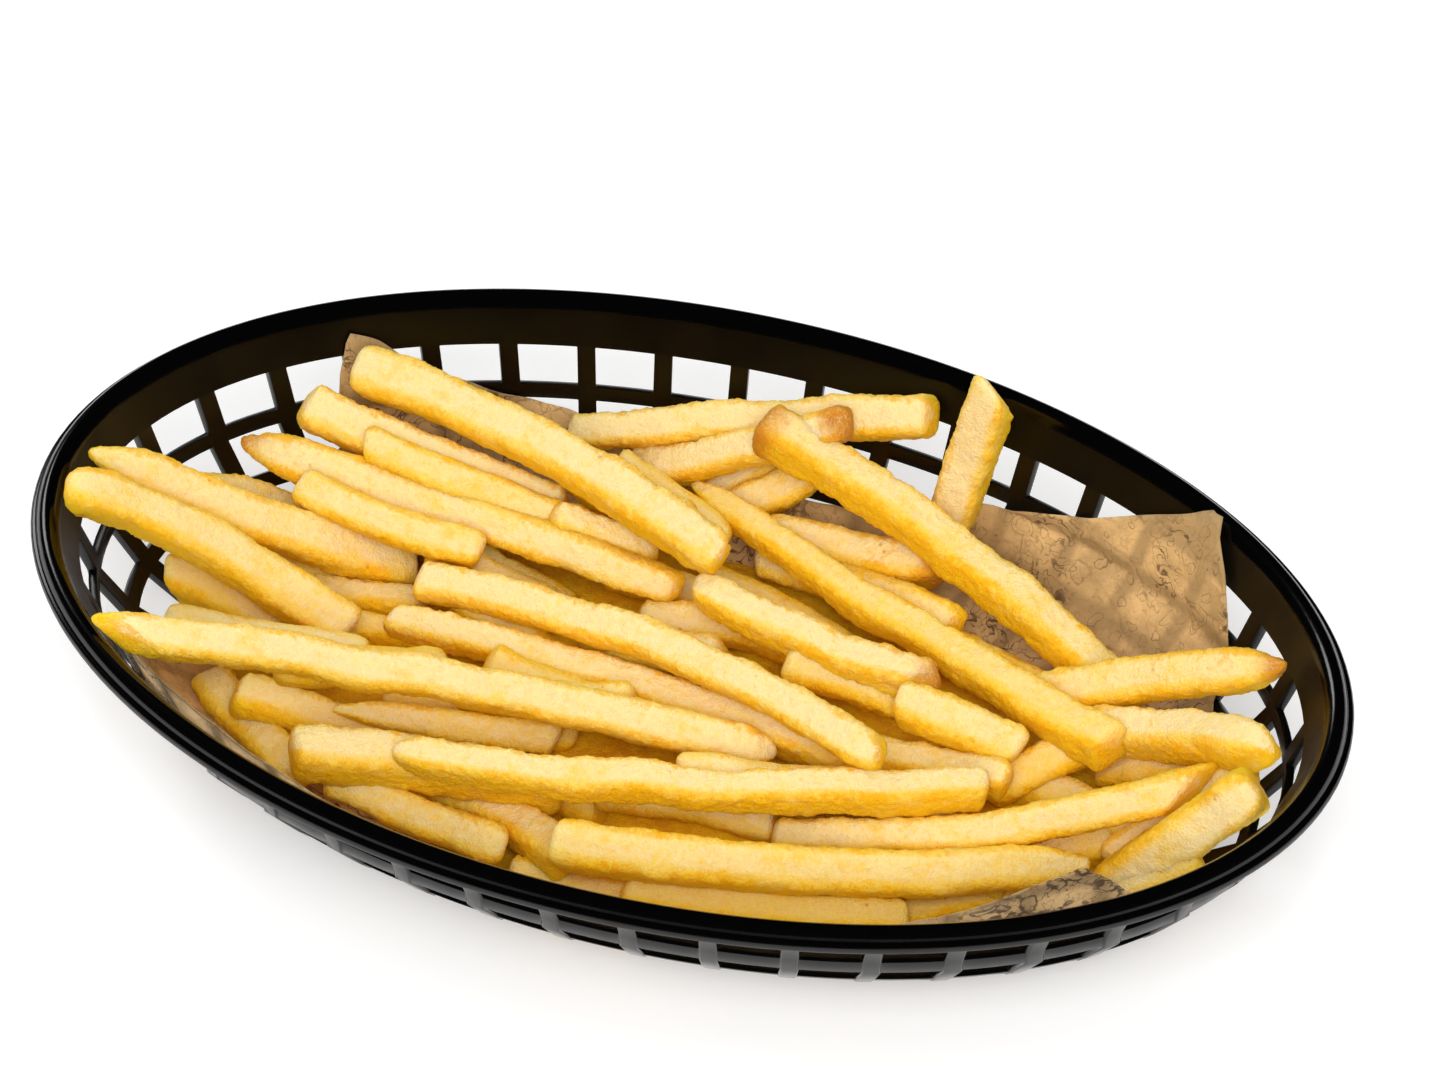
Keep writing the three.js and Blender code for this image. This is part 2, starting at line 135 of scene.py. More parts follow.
# ---------------------------------------- the fries that show
# x, y, height of one end, the same of the other, bow to the left, width at each end (mm),
# and the style of each end, where a capital stands for a browned one.
FRIES = [
    (-96, -3, 16, -72, -6, 8, 1.5, 8, 8, "ub"),
    (-67, 1, 10, -46, 2, 12, 0, 5.2, 5.2, "bb"),
    (-14, 16, 14, 32, 12, 14, 5, 7.5, 7.5, "bb"),
    (-74, 8, 9, -52, 9, 11, 0.5, 5.6, 5.6, "bb"),
    (-83, -18, 9, -58, -38, 11, 0, 7, 7, "bs"),
    (-17, -44, 8, 8, -44, 8, 0, 6.5, 6.5, "bb"),
    (35, 31, 11, 62, 24, 10, 1, 7.5, 7.5, "bb"),
    (-100, 8, 26, -75, 23, 10, 3.5, 6.5, 6.5, "bb"),
    (-75, -26, 16, -49, -22, 9, 0, 7, 7, "bb"),
    (-35, -29, 8, -6, -43, 14, 1, 8, 8, "bb"),
    (0, 41, 10, 41, 30, 18, 1, 7, 7, "bs"),
    (73, 12, 9, 101, 10, 22, 0, 7.5, 7, "bb"),
    (-14, 49, 13, -2, 57, 21, 0, 7, 7, "bb"),
    (-53, -38, 14, -18, -43, 13, 0, 7, 8, "bb"),
    (53, -17, 10, 81, -1, 7, -1, 6.5, 6.5, "bb"),
    (55, -1, 11, 73, 14, 15, 0, 7.5, 7, "bb"),
    (35, -1, 13, 61, -4, 18, 1, 7, 7, "bb"),
    (-93, 25, 25, -8, 20, 20, 0.5, 9, 6.8, "Pb"),
    (-40, 51, 20, 26, 61, 36, 0.5, 6, 8, "bb"),
    (-57, -24, 16, -18, -15, 13, 0, 5, 6, "pb"),
    (50, -30, 7, 71, -14, 7, -0.5, 5, 4.4, "bt"),
    (16, 8, 21, 43, 8, 18, 0.5, 7, 7.4, "bf"),
    (81, -7, 7, 101, 5, 24, 1, 7, 7, "bb"),
    (-58, -42, 23, -12, -29, 16, 1, 9.5, 8.5, "bb"),
    (-27, 51, 15, 13, 53, 38, -2, 7, 6.4, "bB"),
    (38, 4, 23, 61, 3, 19, 0, 7.6, 8.2, "bb"),
    (-111, -1, 41, -58, 19, 10, -2, 7.2, 9, "pb"),
    (-70, 27, 30, -33, 28, 21, -0.5, 7, 7.6, "bb"),
    (4, -45, 12, 52, -33, 10, -1, 6.5, 6.5, "bb"),
    (6, 57, 22, -8, 47, 14, 1, 8, 8, "bb"),
    (-4, 17, 25, 44, 9, 24, -2, 6.4, 7, "sF"),
    (-78, 18, 25, -43, 15, 23, -2, 7.2, 7.4, "bb"),
    (38, 58, 49, 32, 52, 18, -0.5, 8.2, 8.4, "ub"),
    (70, 14, 16, 106, 3, 34, 2, 8.2, 8.6, "bt"),
    (82, -14, 9, 106, -7, 36, 0, 8.6, 10.5, "bs"),
    (-110, -14, 45, -62, -4, 14, 3.5, 8, 9.4, "sb"),
    (-56, 0, 16, 33, -6, 16, 2, 6.5, 7.5, "sb"),
    (1, 43, 15, 35, 44, 17, -0.5, 7.2, 7.8, "bS"),
    (-34, 25, 25, -15, 29, 19, 0.5, 6.6, 6, "bb"),
    (-40, -39, 26, 59, -10, 22, -4.5, 6.8, 7.2, "tb"),
    (24, -23, 11, 94, 0, 25, -4.5, 6.2, 7.6, "bm"),
    (57, 20, 14, 103, 20, 38, 1, 8, 8.6, "bP"),
    (-89, -42, 42, 20, -9, 16, 3, 7.6, 8, "mt"),
    (-84, 33, 30, -34, 32, 20, -0.5, 7.8, 7.2, "bb"),
    (-3, 50, 35, 70, 27, 15, 3, 8.6, 8.4, "Bb"),
    (-53, 7, 20, 41, -15, 28, 6, 7.4, 7.6, "bs"),
    (-8, -45, 20, 79, -15, 15, -4, 9.2, 8, "bp"),
    (-76, 41, 34, 0, 20, 30, 3.5, 8.6, 7.8, "bf"),
    (-15, 47, 19, 77, 7, 21, -1.5, 5.6, 8.6, "pc"),
]
# More fries beneath those, in the gaps that they leave.
FRIES_UNDER = [
    (-90, 10, 11, -62, 14, 9, 1, 7, 7, "bb"),
    (-86, 2, 9, -60, -4, 8, 1, 7, 7, "bb"),
    (-80, 22, 11, -44, 30, 10, 1, 7, 7, "bb"),
    (-66, 30, 16, -30, 36, 13, 0, 7, 7, "bb"),
    (-26, 30, 9, 4, 26, 9, 1, 7, 7, "bb"),
    (-8, 34, 9, 24, 24, 9, 1, 7, 7, "bb"),
    (-40, -18, 8, -6, -26, 9, 0, 7, 7, "bb"),
    (-8, -24, 12, 24, -20, 10, 1, 7, 7, "bb"),
    (30, -30, 8, 66, -18, 8, 0, 7, 7, "bb"),
    (58, 6, 9, 84, 0, 9, 0, 7, 7, "bb"),
    (83, -17, 9, 98, -13, 22, 0, 6.6, 6.6, "bb"),
]
FRY_FLAT = 0.98                      # a section's side for each mm of width
FINE_GRID = (0.5, 58)                # mm between sections, and the points round one
COARSE_GRID = (2.0, 20)              # the same for hidden fries
SQUARENESS = 5.0                     # power of the section's rounded square
CORNER = 0.94                        # how full its corners are
CHIP, CHIP_SIZE = 0.5, 3.2           # how far that varies, and over what length (mm)
EDGE_FROM, EDGE_RUN = 1.07, 0.13     # reach of a corner where its golden edge starts
SHADE_NEAR, SHADE_FAR = 0.3, 0.55    # turn from the top at which the flanks' painted shade starts, on the side toward the camera and on the far side
SWAY, SWAY_SIZE = 1.1, 16            # how far a fry winds, and over what length
WOBBLE, WOBBLE_SIZE = 0.09, 11       # how much its thickness varies, and over what length
THICK, THICK_SIZE = 0.07, 8          # the same for its height alone
CUT_RUN, CUT_REACH = 2.5, 1.3        # how far back a cut bends it, and more where it slants
LUMPS = ((0.2, 2), (0.36, 6))        # height and size of the crust's bumps
CRUMB_SIZE = 0.9                     # size of its finest ones
FRAY, FRAY_RUN = 0.9, 14             # height of a frayed end's bumps, and its length
BROWN_TIP, BROWN_FAINT = 9, 0.45     # length of a browned tip, and the tan beyond it
SHADED_BELOW = 28                      # fries lower than this get a deeper tone, painted shade of lying low in the heap
MEAL = (0.99, 0.82, 0.46)            # colour of the palest grains
FACING = Vector((0.23, -0.66, 0.71))  # the side that the fries' flattest faces lean to
FRY_LEAN = 0.62                      # how far they turn that way, as a share
# Styles of ends: the tip's size, how long it tapers (mm), and how far its cut slants out
# on the fry's left and on its upper side.
END_STYLES = {
    "b": (0.88, 2.6, 0, 0),           # blunt
    "c": (0.97, 0.8, 0, 0),           # crisp cut
    "s": (0.62, 5.0, 0, 0),           # shrunken
    "t": (0.36, 7.5, 0, 0),           # tapered
    "p": (0.22, 13.0, 0, 0),          # pointed
    "m": (0.85, 3.5, 1.5, 0),         # mitred, longest on the left
    "u": (0.85, 3.5, 0, 1.2),         # mitred, longest on top
    "f": (0.80, 6.0, 0, 0),           # frayed
}
# How an end is rounded off: distance from the tip (mm) and the section's size there.
END_CAPS = [(0.0, 0.0), (0.05, 0.36), (0.15, 0.6), (0.4, 0.78), (0.8, 0.9), (1.2, 0.97)]
CAP_RUN = 1.4                        # even sections start beyond this
LAYER = 10                           # fries that are joined into one piece

# ---------------------------------------- what lies underneath
HIDDEN_TRIES = 9000                  # places tried for the fries underneath
HIDDEN_ROOM = 3                      # their distance from the wall
HIDDEN_LIFT = 1.8                    # and from the base
HIDDEN_CLOSE = 0.8                   # how near two may come, in their thicknesses
HIDDEN_BEHIND = 2                    # how far behind the fries that show they stay
HIDDEN_PEEP = 0.5                    # how far their middle may stand clear of those
BED_HALF_X, BED_HALF_Y = 92, 45      # half the bed's length and width
BED_MIDDLE = 3.0                     # its middle's y
BED_GRID = (96, 26)                  # points round it, and rings
BED_BOTTOM, BED_EDGE, BED_RISE, BED_TOP = 3.9, 4.2, 5.0, 9.0
BED_LUMP = 0.8                       # height of its lumps
# The bed's colour weights: full painted flank shade and a deep low-fry tone, painted as the shade
# between the fries, with part-browned tips.
BED_LOOK = {"edge": 0.5, "tip": 0.45, "flank_shade": 1.0, "tone": 0.9}

# ---------------------------------------- the stage, in metres
CAMERA_TARGET = Vector((0, 0, 0.0388))
SENSOR = 36                          # width of the camera's sensor, mm
PICTURE_WIDTH = 1440                 # pixels
PICTURE_SHIFT = (35.37, 61.18)       # of the view, in those pixels
FLOOR_HALF = 8.0
ROOM_LIGHT = 0.58                    # even light from all round
LIT_POINT = Vector((0, 0, 0.03))     # what the lights are turned to
# Name, width and height, power, place, and whether the plastic's gloss mirrors it.
LIGHTS = [
    ("overhead", (1.5, 1.1), 1.7, (-0.15, 0.0, 1.5), False),
    ("left_window", (0.5, 0.4), 4, (-1.1, 0.7, 0.9), True),
]
FILL_LIGHT, FILL_AWAY = 22, 1.7      # power and distance of a light round the camera


# ---------------------------------------- settings
class BasketLook(bpy.types.PropertyGroup):
    slats: IntProperty(name="Slats", description="Upright slats round the wall", default=40,
                       min=12, max=80)
    slat_width: FloatProperty(name="Slat width", description="Width of each slat",
                              default=0.0033, unit="LENGTH")
    plastic: FloatVectorProperty(name="Plastic", description="Colour of the moulded plastic",
                                 default=(0.001, 0.001, 0.0011), subtype="COLOR")
    roughness: FloatProperty(name="Roughness", description="Roughness of the rim's plastic",
                             default=0.14, min=0, max=1)


class PaperLook(bpy.types.PropertyGroup):
    kraft: FloatVectorProperty(name="Kraft", description="Colour of the bare paper",
                               default=(0.7, 0.445, 0.185), subtype="COLOR")
    ink: FloatVectorProperty(name="Ink", description="Colour of the printed line pattern",
                             default=(0.09, 0.045, 0.02), subtype="COLOR")
    thickness: FloatProperty(name="Thickness", description="Thickness of the sheet",
                             default=0.00022, unit="LENGTH")
    crease: FloatProperty(name="Creases", description="Height of the creases",
                          default=0.0004, unit="LENGTH")


class FriesLook(bpy.types.PropertyGroup):
    face: FloatVectorProperty(name="Face", description="Colour of the pale faces",
                              default=(0.99, 0.63, 0.12), subtype="COLOR")
    # Cream streaks: partly real mealy starch, partly painted light laid on the top faces away from
    # the flanks' shade.
    cream_and_top_light: FloatVectorProperty(name="Cream", description="Colour of the mealy streaks",
                               default=(0.99, 0.73, 0.34), subtype="COLOR")
    # Golden colour of the flanks' painted shade: sides turned away from the light are painted a
    # deeper gold.
    flank_shade: FloatVectorProperty(name="Flank", description="Colour of the golden flanks",
                               default=(0.98, 0.56, 0.008), subtype="COLOR")
    edge: FloatVectorProperty(name="Edge", description="Colour of the crisp spots",
                              default=(0.93, 0.45, 0.006), subtype="COLOR")
    brown: FloatVectorProperty(name="Brown", description="Colour of the browned tips",
                               default=(0.58, 0.22, 0.012), subtype="COLOR")
    crumb: FloatProperty(name="Crumb", description="Height of the crust's fine bumps",
                         default=0.00032, unit="LENGTH")
    seed: IntProperty(name="Seed", description="Seed of the heap's small variations",
                      default=7)


class StageLook(bpy.types.PropertyGroup):
    azimuth: FloatProperty(name="Azimuth", description="Camera's turn round the basket",
                           default=math.radians(19.1), subtype="ANGLE")
    elevation: FloatProperty(name="Elevation", description="Camera's height angle",
                             default=math.radians(45.51), subtype="ANGLE")
    distance: FloatProperty(name="Distance", description="From the camera to its target",
                            default=1.3909, unit="LENGTH")
    lens: FloatProperty(name="Lens", description="Focal length on a 36 mm sensor",
                        default=200.0, unit="CAMERA")
    floor: FloatVectorProperty(name="Floor", description="Colour of the floor",
                               default=(0.93, 0.93, 0.93), subtype="COLOR")
    glow: FloatProperty(name="Floor glow", description="Light given off by the light table",
                        default=0.23, min=0)
    light: FloatProperty(name="Light", description="Strength of the main light", default=1.0)


# ---------------------------------------- shaders
class Socket:
    """A node's output socket that Python's operators work on."""

    def __init__(self, shader, socket):
        self.shader, self.socket = shader, socket

    def math(self, operation, *others, clamp=False):
        return self.shader.node("ShaderNodeMath",
                                {"operation": operation, "use_clamp": clamp}, [self, *others])

    def __add__(self, other):
        return self.math("ADD", other)

    def __sub__(self, other):
        return self.math("SUBTRACT", other)

    def __rsub__(self, other):
        return self.shader.node("ShaderNodeMath", {"operation": "SUBTRACT"}, [other, self])

    def __mul__(self, other):
        return self.math("MULTIPLY", other)

    __radd__ = __add__
    __rmul__ = __mul__

    def clamp(self):
        return self.math("ADD", 0.0, clamp=True)

    def step(self, low, high):
        """0 below low and 1 above high, with a soft rise between them."""
        return self.shader.node(
            "ShaderNodeMapRange", {"interpolation_type": "SMOOTHSTEP"},
            {"Value": self, "From Min": low, "From Max": high})


class Shader:
    """A material's node tree, with one method that makes any node."""

    def __init__(self, name):
        self.material = bpy.data.materials.new(name)
        self.material.use_nodes = True
        self.tree = self.material.node_tree
        self.surface = self.tree.nodes["Principled BSDF"]

    def node(self, kind, settings=None, values=None, output=0):
        node = self.tree.nodes.new(kind)
        for key, value in (settings or {}).items():
            setattr(node, key, value)
        pairs = values.items() if isinstance(values, dict) else enumerate(values or [])
        for key, value in pairs:
            self.put(node.inputs[key], value)
        return Socket(self, node.outputs[output])

    def put(self, place, value):
        """Links a socket, or sets its value; a colour of three numbers gets its alpha."""
        if isinstance(value, Socket):
            self.tree.links.new(value.socket, place)
        elif isinstance(value, tuple) and len(place.default_value) == 4:
            place.default_value = (*value, 1.0)
        else:
            place.default_value = value

    def set(self, **values):
        """Sets the Principled shader's sockets, an underscore standing for a space."""
        for key, value in values.items():
            self.put(self.surface.inputs[key.replace("_", " ")], value)
        return self.material

    def mix(self, factor, low, high):
        """A mix of two colours."""
        node = self.tree.nodes.new("ShaderNodeMix")
        node.data_type = "RGBA"
        for key, value in (("Factor_Float", factor), ("A_Color", low), ("B_Color", high)):
            self.put(next(s for s in node.inputs if s.identifier == key), value)
        return Socket(self, next(s for s in node.outputs if s.identifier == "Result_Color"))

    def place(self):
        """Object coordinates in millimetres."""
        return self.scale(self.node("ShaderNodeTexCoord", output="Object"), 1 / MM)

    def scale(self, point, factor):
        return self.node("ShaderNodeVectorMath", {"operation": "SCALE"},
                         {0: point, "Scale": factor})

    def shift(self, point, offset):
        return self.node("ShaderNodeVectorMath", {"operation": "ADD"}, [point, offset])

    def stretch(self, point, factors):
        return self.node("ShaderNodeVectorMath", {"operation": "MULTIPLY"}, [point, factors])

    def noise(self, point, size, detail, output="Fac"):
        """Noise with features of about that size, in millimetres."""
        return self.node("ShaderNodeTexNoise", None,
                         {"Vector": point, "Scale": 1 / size, "Detail": detail,
                          "Roughness": 0.55}, output)

    def cells(self, point, size, feature="F1"):
        """Distance in a pattern of cells of about that size, as a share of it."""
        return self.node("ShaderNodeTexVoronoi", {"feature": feature},
                         {"Vector": point, "Scale": 1 / size}, "Distance")

    def attribute(self, name):
        return self.node("ShaderNodeAttribute", {"attribute_name": name}, output="Fac")

    def bump(self, height, distance, strength):
        return self.node("ShaderNodeBump", None,
                         {"Height": height, "Distance": distance, "Strength": strength})


def plastic_material(look):
    """Glossy moulded plastic, duller and a little greasy on the inner wall, whose brown tint is
    partly grease and partly painted reflection of the fries.
    """
    s = Shader("moulded_plastic")
    point = s.place()
    flow = s.noise(point, 9, 3)
    speck = s.noise(point, 0.7, 2)
    inner = s.attribute("inner")
    smear = s.noise(s.stretch(point, (1, 1, 0.35)), 14, 4).step(0.42, 0.75)
    rough = look.roughness + flow * 0.04 + inner * (0.18 + 0.2 * smear)
    # The inner wall's brown tint: partly greasy smears, partly painted reflection of the fries.
    colour = s.mix(inner * (0.35 + 0.4 * smear), tuple(look.plastic), GREASE_AND_FRY_REFLECTION)
    normal = s.bump(flow * 0.5 + speck * 0.05, 0.1 * MM, 0.4)
    return s.set(Base_Color=colour, Roughness=rough, Normal=normal, IOR=1.5,
                 Specular_IOR_Level=0.4)


def paper_material(look):
    """Thin brown kraft paper, fibrous and creased, with a line print of rings and strokes."""
    s = Shader("kraft_paper")
    point = s.place()
    warped = point
    for size, reach in ((11, 6.0), (2.6, 2.4)):
        swirl = s.shift(s.noise(point, size, 2, "Color"), (-0.5, -0.5, -0.5))
        warped = s.shift(warped, s.scale(swirl, reach))

    def rings(size, radius, width):
        """Outlines of round shapes scattered over the sheet."""
        far = s.cells(warped, size) * size
        return 1 - (far - radius).math("ABSOLUTE").step(width * 0.4, width)

    def strokes(size, width):
        """Wandering lines."""
        level = s.noise(warped, size, 1) - 0.5
        return 1 - level.math("ABSOLUTE").step(width * 0.4, width)

    def kraft_of(share):
        """The bare paper's colour made darker or lighter by that share."""
        return tuple(min(1, c * share) for c in look.kraft)

    across = s.node("ShaderNodeSeparateXYZ", None, [point], "Y")
    bold = 1 - across.step(*BOLD_PRINT)
    large = rings(9.5, 2.8, 0.17).math("MAXIMUM", rings(9.5, 1.8, 0.13))
    small = rings(4.2, 1.1, 0.13)
    lines = strokes(4.6, 0.02 + bold * 0.025).math("MAXIMUM", strokes(2.3, 0.022) * 0.9)
    where = s.noise(point, 17, 1).step(0.44, 0.56)
    print_mask = (large * 0.5).math("MAXIMUM", small * where * 0.6).math(
        "MAXIMUM", lines * (1 - where * 0.8))
    worn = (s.noise(point, 2.4, 3).step(0.25, 0.6) * 0.75 + 0.2 + bold * 0.3).clamp()
    fibre = s.noise(s.stretch(point, (0.25, 1, 1)), 0.5, 3)
    cloud = s.noise(point, 22, 4)
    grease = s.noise(s.shift(point, (40, 15, 7)), 18, 3).step(0.5, 0.66)
    handled = cloud * 0.6 + s.noise(point, 5, 3) * 0.4
    # Darker bands where slats, rings or the closed band stand behind the sheet: painted shade of the
    # basket seen through the paper.
    slat_shade_mask = (s.attribute("slat_shade") + (cloud - 0.5) * 0.8).step(0.35, 1.0)
    kraft = s.mix(handled.step(0.36, 0.62), kraft_of(0.7), kraft_of(1.2))
    kraft = s.mix((fibre - 0.5) * 0.5 + 0.2, kraft, kraft_of(0.6))
    kraft = s.mix(grease * 0.45, kraft, kraft_of(0.55))
    kraft = s.mix(slat_shade_mask * 0.6, kraft, kraft_of(0.42))
    colour = s.mix(print_mask * worn * 0.95, kraft, tuple(look.ink))
    crease = s.cells(warped, 9, "DISTANCE_TO_EDGE").step(0, 0.12)
    normal = s.bump(crease * 0.6 + cloud * 0.8 + fibre * 0.05, 0.4 * MM, 0.5)
    return s.set(Base_Color=colour, Roughness=0.72 - grease * 0.25, Normal=normal)


def fry_material(look):
    """Fried potato: pale mealy faces, golden crisp edges, browned tips and fine crumbs, with painted
    light in the top faces' cream centres and painted shade in the golden flanks and low fries.
    """
    s = Shader("fried_potato")
    point = s.place()
    # tone is partly a random tone and partly painted shade on the fries that lie low.
    edge, tip, tone = s.attribute("edge"), s.attribute("tip"), s.attribute("tone")
    # flank_shade weighs the painted shade on a section's sides and underside, away from its lit top
    # face.
    flank_shade = s.attribute("flank_shade")
    patch = s.noise(point, 6.5, 4)
    mottle = s.noise(point, 1.6, 3)
    grain = s.noise(point, 0.45, 2)
    crust = s.noise(point, 0.9, 2)
    # Cream centres where no flank shade or low shade falls: painted light on the top faces, broken up
    # by real mealy mottling.
    centre = 1 - flank_shade * 1.7 + (patch - 0.5) * 1.8 + (mottle - 0.5) * 1.2 - (tone - 0.5) * 0.6
    pale = s.mix(centre.step(0.45, 1.25), tuple(look.face), tuple(look.cream_and_top_light))
    stain = (patch - 0.5) * 1.9 + (mottle - 0.5) * 1.3 + (crust - 0.5) * 1.2
    # Golden where the flanks' and the low fries' painted shade falls, with real stains and crisp
    # edges mixed in.
    gold_and_shade = (flank_shade * 1.3 + edge * 0.25 - 0.12 + stain + (tone - 0.5) * 0.5).clamp()
    colour = s.mix(gold_and_shade, pale, tuple(look.flank_shade))
    crisp = (edge * 0.95 + stain * 0.8 + (grain - 0.5) * 1.5 + tip * 0.8).step(0.55, 1.3)
    colour = s.mix(crisp * 0.9, colour, tuple(look.edge))
    burnt = (tip + (patch - 0.5) * 0.6 + (mottle - 0.5) * 0.3).step(0.3, 0.9)
    colour = s.mix(burnt * 0.92, colour, tuple(look.brown))
    speck = s.cells(point, 4.2).step(0.05, 0.12)
    colour = s.mix((1 - speck) * patch.step(0.5, 0.62) * 0.6, colour, tuple(look.brown))
    meal = ((grain - 0.5) * 1.1 + (crust - 0.5) * 0.7 + 0.05) * (1 - gold_and_shade * 0.85)
    colour = s.mix(meal, colour, MEAL)
    normal = s.bump(grain * 1.5 + crust + mottle * 0.6 + patch * 0.6, 0.4 * MM, 0.7)
    return s.set(Base_Color=colour, Roughness=0.46 + mottle * 0.25, Normal=normal,
                 Subsurface_Weight=0.55, Subsurface_Radius=(1.0, 0.7, 0.15),
                 Subsurface_Scale=4 * MM, Specular_IOR_Level=0.15)


# ---------------------------------------- pieces
def clamped(value):
    return min(1.0, max(0.0, value))


def new_piece(name, points, faces, material, attributes, smooth=True):
    """A mesh object from points in millimetres, with numbers for its shader."""
    mesh = bpy.data.meshes.new(name)
    mesh.from_pydata((np.asarray(points, float) * MM).tolist(), [], faces)
    mesh.validate()
    for key, values in attributes.items():
        layer = mesh.attributes.new(key, "FLOAT", "POINT")
        layer.data.foreach_set("value", np.asarray(values, np.float32))
    mesh.polygons.foreach_set("use_smooth", [smooth] * len(mesh.polygons))
    mesh.materials.append(material)
    piece = bpy.data.objects.new(name, mesh)
    bpy.context.scene.collection.objects.link(piece)
    return piece


def dress(piece, node):
    """Lets a piece ride on the part's one body, in place of its CAD node."""
    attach(piece, "root")
    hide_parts(node)


# ---------------------------------------- the basket
def on_oval(angle, inset, height):
    return ((HALF_X - inset) * math.cos(angle), (HALF_Y - inset) * math.sin(angle), height)


def stretch_at(angle, inset):
    """How far a point on the inset oval travels for each radian."""
    return math.hypot((HALF_X - inset) * math.sin(angle), (HALF_Y - inset) * math.cos(angle))


def slat_angles(count):
    """Angles of the slats, which share the spacing oval's length evenly."""
    steps = 3600
    run = [stretch_at((i + 0.5) / steps * TAU, SPACING_INSET) for i in range(steps)]
    travelled = np.concatenate([[0], np.cumsum(run)])
    wanted = (np.arange(count) + SLAT_START) / count % 1 * travelled[-1]
    return np.interp(wanted, travelled, np.arange(steps + 1)) / steps * TAU


def basket_mesh(look):
    """Points, faces and an inner-side weight of the whole moulding."""
    pitch = TAU / look.slats
    width = look.slat_width / MM
    slats = slat_angles(look.slats)
    per_pitch = len(SLAT_COLUMNS) + len(WINDOW_COLUMNS)
    columns = look.slats * per_pitch
    points, faces, inner = [], [], []
    for inside, outside, _ in STATIONS:
        for side, (inset, height) in enumerate((inside, outside)):
            half = [min(width / 2 / stretch_at(a, inset), SLAT_SHARE * pitch) for a in slats]
            proud = SLAT_PROUD if side and PROUD_FROM < height < PROUD_TO else 0
            for k, middle in enumerate(slats):
                following = (k + 1) % look.slats
                start = middle + half[k]
                end = slats[following] - half[following]
                if end < start:
                    end += TAU
                for share in SLAT_COLUMNS:
                    out = proud if abs(share) < 1 else 0
                    points.append(on_oval(middle + share * half[k], inset - out, height))
                for share in WINDOW_COLUMNS:
                    points.append(on_oval(start + share * (end - start), inset, height))
                inner += [1.0 if side == 0 and height < GLOSSY_FROM else 0.0] * per_pitch

    def number(station, side, column):
        return (station * 2 + side) * columns + column % columns

    def quad(*corners):
        faces.append(tuple(number(*corner) for corner in corners))

    for i in range(len(STATIONS) - 1):
        is_open = STATIONS[i][2]
        for c in range(columns):
            place = c % per_pitch                # 0 at a slat's first edge
            if is_open and place >= len(SLAT_COLUMNS) - 1:
                quad((i, 0, c), (i, 0, c + 1), (i, 1, c + 1), (i, 1, c))
                quad((i + 1, 0, c + 1), (i + 1, 0, c), (i + 1, 1, c), (i + 1, 1, c + 1))
                continue
            quad((i, 0, c), (i, 0, c + 1), (i + 1, 0, c + 1), (i + 1, 0, c))
            quad((i, 1, c), (i + 1, 1, c), (i + 1, 1, c + 1), (i, 1, c + 1))
            if is_open and place == 0:
                quad((i, 0, c), (i + 1, 0, c), (i + 1, 1, c), (i, 1, c))
            if is_open and place == len(SLAT_COLUMNS) - 2:
                quad((i, 1, c + 1), (i + 1, 1, c + 1), (i + 1, 0, c + 1), (i, 0, c + 1))
    last = len(STATIONS) - 1
    top, bottom = len(points), len(points) + 1
    points += [(0, 0, height) for _, height in STATIONS[last][:2]]
    inner += [1.0, 0.0]
    for c in range(columns):
        quad((0, 0, c + 1), (0, 0, c), (0, 1, c), (0, 1, c + 1))
        faces.append((number(last, 0, c), number(last, 0, c + 1), top))
        faces.append((number(last, 1, c + 1), number(last, 1, c), bottom))
    return points, faces, inner


# The inner side as (height, inset), from the base up the wall and on to the roll's top.
WALL = sorted((height, inset) for (inset, height), _, _ in STATIONS[WALL_FROM:-1])
ROLL = sorted((height, inset) for (inset, height), _, _ in STATIONS[ROLL_TOP:WALL_FROM:2])
BASE_TOP, BASE_INSET = WALL[0]
WALL_LINE = np.array(WALL).T
RIM_LINE = np.array(WALL + ROLL).T


def wall_inset(height):
    return np.interp(height, *WALL_LINE)


def rim_inset(height):
    """The same, but over the roll too, for what leans on the rim."""
    return np.interp(height, *RIM_LINE)


# ---------------------------------------- the paper
def off_wall(angle, height, distance, edge, lean):
    """A point off the wall by a distance square to it, more where the sheet leans in."""
    run = rim_inset(height + 1) - rim_inset(height - 1)
    slope = math.atan2(-run, 2)
    climb = clamped((height - BASE_TOP) / (edge - BASE_TOP))
    off = distance + lean * climb * climb
    return on_oval(angle, rim_inset(height) + off * math.cos(slope),
                   height + off * math.sin(slope))


def crease_at(spot, height):
    """How far the creases lift or press the sheet there."""
    place = Vector(spot)
    fold = abs(noise.noise(place / 17.0)) + 0.5 * abs(noise.noise(place / 7.0))
    return height * (1.3 * (0.42 - fold) + 0.22 * noise.noise(place / 2.6))


